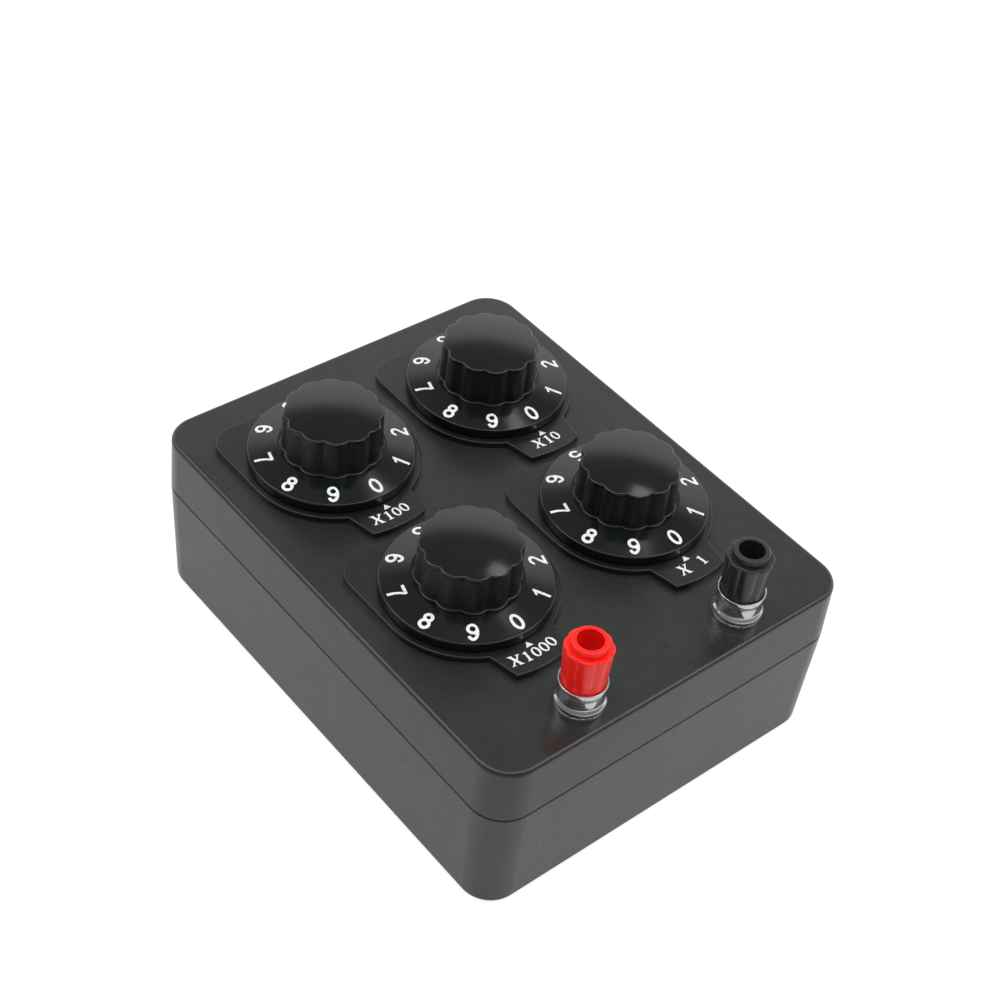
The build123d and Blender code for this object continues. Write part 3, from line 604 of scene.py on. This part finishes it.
def softened(outline, radius, steps=4):
    """The outline with each corner rounded"""
    corners = [Vector(point) for point in outline]
    points = []
    for i, corner in enumerate(corners):
        before = corners[i - 1] - corner
        after = corners[(i + 1) % len(corners)] - corner
        reach = min(radius, before.length / 2.2, after.length / 2.2)
        first = corner + before.normalized() * reach
        last = corner + after.normalized() * reach
        for step in range(steps + 1):
            t = step / steps
            points.append(first * (1 - t) ** 2 + corner * 2 * t * (1 - t) + last * t ** 2)
    return points


def turned_piece(name, outline, axis, material, body, node):
    """A solid of revolution about a terminal's axis that stands for its CAD node"""
    shape = bmesh.new()
    rings = []
    for point in outline:
        ring = []
        for i in range(TURNED_SIDES):
            angle = 2 * math.pi * i / TURNED_SIDES
            reach = max(point[0], 0.0) * MM
            ring.append(shape.verts.new((axis[0] + reach * math.cos(angle), axis[1] + reach * math.sin(angle),
                                         panel_height + point[1] * MM)))
        rings.append(ring)
    for ring, further in zip(rings, rings[1:] + rings[:1]):
        for i in range(TURNED_SIDES):
            j = (i + 1) % TURNED_SIDES
            shape.faces.new((ring[i], ring[j], further[j], further[i]))
    bmesh.ops.remove_doubles(shape, verts=shape.verts, dist=0.001 * MM)
    bmesh.ops.dissolve_degenerate(shape, edges=shape.edges, dist=0.0005 * MM)
    bmesh.ops.recalc_face_normals(shape, faces=shape.faces)
    for face in shape.faces:
        face.smooth = True
    mesh = bpy.data.meshes.new(name)
    shape.to_mesh(mesh)
    shape.free()
    mesh.materials.append(material)
    piece = bpy.data.objects.new(name, mesh)
    bpy.context.scene.collection.objects.link(piece)
    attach(piece, body)
    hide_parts(node)


collar_outline = softened([
    (COLLAR_BORE, 0), (COLLAR_FOOT_RADIUS, 0), (COLLAR_FOOT_RADIUS, COLLAR_STEP),
    (COLLAR_NECK_RADIUS, COLLAR_NECK_FOOT), (COLLAR_NECK_RADIUS, COLLAR_NECK_TOP),
    (COLLAR_LIP_RADIUS, COLLAR_SEAT), (COLLAR_LIP_RADIUS, COLLAR_TOP), (COLLAR_LIP_BORE, COLLAR_TOP),
    (COLLAR_LIP_BORE, COLLAR_SEAT), (COLLAR_BORE, COLLAR_SEAT),
], COLLAR_ROUNDING)
waist = []
for number in range(WAIST_RINGS):
    foot = WAIST_FIRST_RING + WAIST_SPACING * number
    waist.extend([(WAIST_RADIUS, foot), (WAIST_RADIUS, foot + WAIST_LAND),
                  (WAIST_CUT_RADIUS, foot + WAIST_CUT)])
thread = []
for number in range(THREAD_RINGS):
    foot = THREAD_FIRST_RING + THREAD_PITCH * number
    thread.extend([(THREAD_RADIUS, foot), (THREAD_RADIUS, foot + THREAD_CREST),
                   (THREAD_ROOT_RADIUS, foot + THREAD_FLANK), (THREAD_ROOT_RADIUS, foot + THREAD_ROOT)])
post_outline = (
    [Vector((0, TAIL_END))]
    + softened([(TAIL_RADIUS, TAIL_END), (TAIL_RADIUS, FLANGE_FOOT), (FLANGE_RADIUS, FLANGE_FOOT),
                (FLANGE_RADIUS, FLANGE_TOP), *waist, (WAIST_RADIUS, WAIST_TOP),
                (FLANGE_RADIUS, SHOULDER_HEIGHT), (SHOULDER_RADIUS, SHOULDER_HEIGHT), *thread,
                (THREAD_RADIUS, THREAD_TOP), (THREAD_RADIUS, POST_TOP), (SOCKET_RADIUS, POST_TOP),
                (SOCKET_RADIUS, SOCKET_FLOOR)], POST_ROUNDING, steps=2)
    + [Vector((0, SOCKET_FLOOR))]
)
for name in TERMINALS:
    turned_piece(f"clear_collar_{name}", collar_outline, terminal_axis[name], acrylic, "case",
                 f"terminal_collar_{name}")
    turned_piece(f"threaded_post_{name}", post_outline, terminal_axis[name], nickel, "case",
                 f"terminal_post_{name}")


# Floor of white paper. The camera and glass see it glow to white, a little less near the box, with the
# box's shadow on it. Gloss sees a dimmer glow, which keeps the sides dark. Light bounces as off plain paper.
# Lengths are in metres from here on

FLOOR_HALF = 4
FLOOR_GAP = 0.0002
PAPER_SCATTER = "#E6E6E6"
PAPER_SEEN = "#9A9A9A"
GLOW_NEAR = 0.8
GLOW_FAR = 1.0
GLOW_IN_GLOSS = 0.56
NEAR_BOX = 0.25
OFF_BOX = 1.0

floor_mesh = bpy.data.meshes.new("studio_floor")
floor_shape = bmesh.new()
bmesh.ops.create_grid(floor_shape, x_segments=2, y_segments=2, size=FLOOR_HALF)
floor_shape.to_mesh(floor_mesh)
floor_shape.free()
floor = bpy.data.objects.new("studio_floor", floor_mesh)
bpy.context.scene.collection.objects.link(floor)
floor.location.z = -FLOOR_GAP
paper = bpy.data.materials.new("studio_paper")
paper.use_nodes = True
tree = paper.node_tree
tree.nodes.clear()
rays = put(tree, "ShaderNodeLightPath")
looked_at = put(tree, "ShaderNodeMath", {0: rays.outputs["Is Camera Ray"], 1: rays.outputs["Is Glossy Ray"]},
                operation="MAXIMUM")
seen = put(tree, "ShaderNodeMath", {0: looked_at.outputs[0], 1: rays.outputs["Is Transmission Ray"]},
           operation="MAXIMUM")
lit = put(tree, "ShaderNodeBsdfDiffuse", {"Color": paint(PAPER_SCATTER)})
pale = put(tree, "ShaderNodeBsdfDiffuse", {"Color": paint(PAPER_SEEN)})
distance = put(tree, "ShaderNodeVectorMath", {0: put(tree, "ShaderNodeNewGeometry").outputs["Position"]},
               operation="LENGTH")
open_floor = put(tree, "ShaderNodeMapRange", {"Value": distance.outputs["Value"], "From Min": NEAR_BOX,
                                              "From Max": OFF_BOX, "To Min": GLOW_NEAR, "To Max": GLOW_FAR})
shine = put(tree, "ShaderNodeMix", {"Factor": rays.outputs["Is Glossy Ray"], MIX_A: open_floor.outputs[0],
                                    MIX_B: GLOW_IN_GLOSS})
glow = put(tree, "ShaderNodeEmission", {"Color": (1, 1, 1, 1), "Strength": shine.outputs[0]})
white = put(tree, "ShaderNodeAddShader", {0: pale.outputs[0], 1: glow.outputs[0]})
surface = put(tree, "ShaderNodeMixShader", {0: seen.outputs[0], 1: lit.outputs[0], 2: white.outputs[0]})
put(tree, "ShaderNodeOutputMaterial", {"Surface": surface.outputs[0]})
floor_mesh.materials.append(paper)


# Room: dim, with a pale wall behind the box as the camera sees it, and a bright strip overhead, mirrored by
# edges that slope towards the camera. Places are shares of a direction's length, to the wall or upwards

TOWARDS_WALL = (-0.716, 0.698, 0)
WALL_STARTS = 0.05
WALL_FULL = 0.5
WALL_FADES = 0.56
WALL_ENDS = 0.7
STRIP_FADES = 0.24
STRIP_ENDS = 0.33
STRIP_STARTS = -0.2
STRIP_FULL = -0.08
STRIP_FOOT_STARTS = 0.4
STRIP_FOOT_FULL = 0.55
ROOM_LIGHT = 0.28
WALL_LIGHT = 1.25
STRIP_LIGHT = 2.4

world = bpy.data.worlds.new("studio_room")
bpy.context.scene.world = world
world.use_nodes = True
tree = world.node_tree
tree.nodes.clear()
direction = put(tree, "ShaderNodeTexCoord").outputs["Generated"]
height = put(tree, "ShaderNodeSeparateXYZ", {0: direction}).outputs["Z"]
behind = put(tree, "ShaderNodeVectorMath", {0: direction, 1: TOWARDS_WALL},
             operation="DOT_PRODUCT").outputs["Value"]
rear_wall = put(tree, "ShaderNodeMapRange", {"Value": behind, "From Min": WALL_STARTS, "From Max": WALL_FULL},
                interpolation_type="SMOOTHSTEP")
below_edge = put(tree, "ShaderNodeMapRange", {"Value": height, "From Min": WALL_FADES, "From Max": WALL_ENDS,
                                              "To Min": 1.0, "To Max": 0.0}, interpolation_type="SMOOTHSTEP")
wall = put(tree, "ShaderNodeMath", {0: rear_wall.outputs[0], 1: below_edge.outputs[0]}, operation="MULTIPLY")
strip_back = put(tree, "ShaderNodeMapRange", {"Value": behind, "From Min": STRIP_FADES,
                                              "From Max": STRIP_ENDS, "To Min": 1.0, "To Max": 0.0},
                 interpolation_type="SMOOTHSTEP")
strip_front = put(tree, "ShaderNodeMapRange", {"Value": behind, "From Min": STRIP_STARTS,
                                               "From Max": STRIP_FULL}, interpolation_type="SMOOTHSTEP")
strip_foot = put(tree, "ShaderNodeMapRange", {"Value": height, "From Min": STRIP_FOOT_STARTS,
                                              "From Max": STRIP_FOOT_FULL}, interpolation_type="SMOOTHSTEP")
band = put(tree, "ShaderNodeMath", {0: strip_back.outputs[0], 1: strip_front.outputs[0]},
           operation="MULTIPLY")
strip = put(tree, "ShaderNodeMath", {0: band.outputs[0], 1: strip_foot.outputs[0]}, operation="MULTIPLY")
dim_room = put(tree, "ShaderNodeMapRange", {"Value": wall.outputs[0], "To Min": ROOM_LIGHT,
                                            "To Max": WALL_LIGHT})
room = put(tree, "ShaderNodeMath", {0: strip.outputs[0], 1: STRIP_LIGHT, 2: dim_room.outputs[0]},
           operation="MULTIPLY_ADD")
background = put(tree, "ShaderNodeLightPath").outputs["Is Camera Ray"]
strength = put(tree, "ShaderNodeMath", {0: room.outputs[0], 1: background}, operation="MAXIMUM")
backdrop = put(tree, "ShaderNodeBackground", {"Color": (1, 1, 1, 1), "Strength": strength.outputs[0]})
put(tree, "ShaderNodeOutputWorld", {"Surface": backdrop.outputs[0]})


LAMP_TARGET = Vector((0, 0, 0.05))


def lamp(name, place, size, power, seen_in_gloss=True):
    """A square soft lamp that faces the box: place and size in metres, power in watts"""
    data = bpy.data.lights.new(name, "AREA")
    data.shape = "SQUARE"
    data.size = size
    data.energy = power
    holder = bpy.data.objects.new(name, data)
    bpy.context.scene.collection.objects.link(holder)
    holder.location = place
    holder.rotation_mode = "QUATERNION"
    holder.rotation_quaternion = (Vector(place) - LAMP_TARGET).to_track_quat("Z", "Y")
    holder.visible_glossy = seen_in_gloss


# The window lamp leaves a soft patch on each knob's crown. The overhead lamp lights the box and its shadow
lamp("window_lamp", place=(-0.235, 0.475, 0.95), size=0.13, power=0.16)
lamp("overhead_lamp", place=(0.38, -0.26, 1.3), size=0.7, power=4.5, seen_in_gloss=False)

bpy.context.scene.view_settings.view_transform = "Standard"
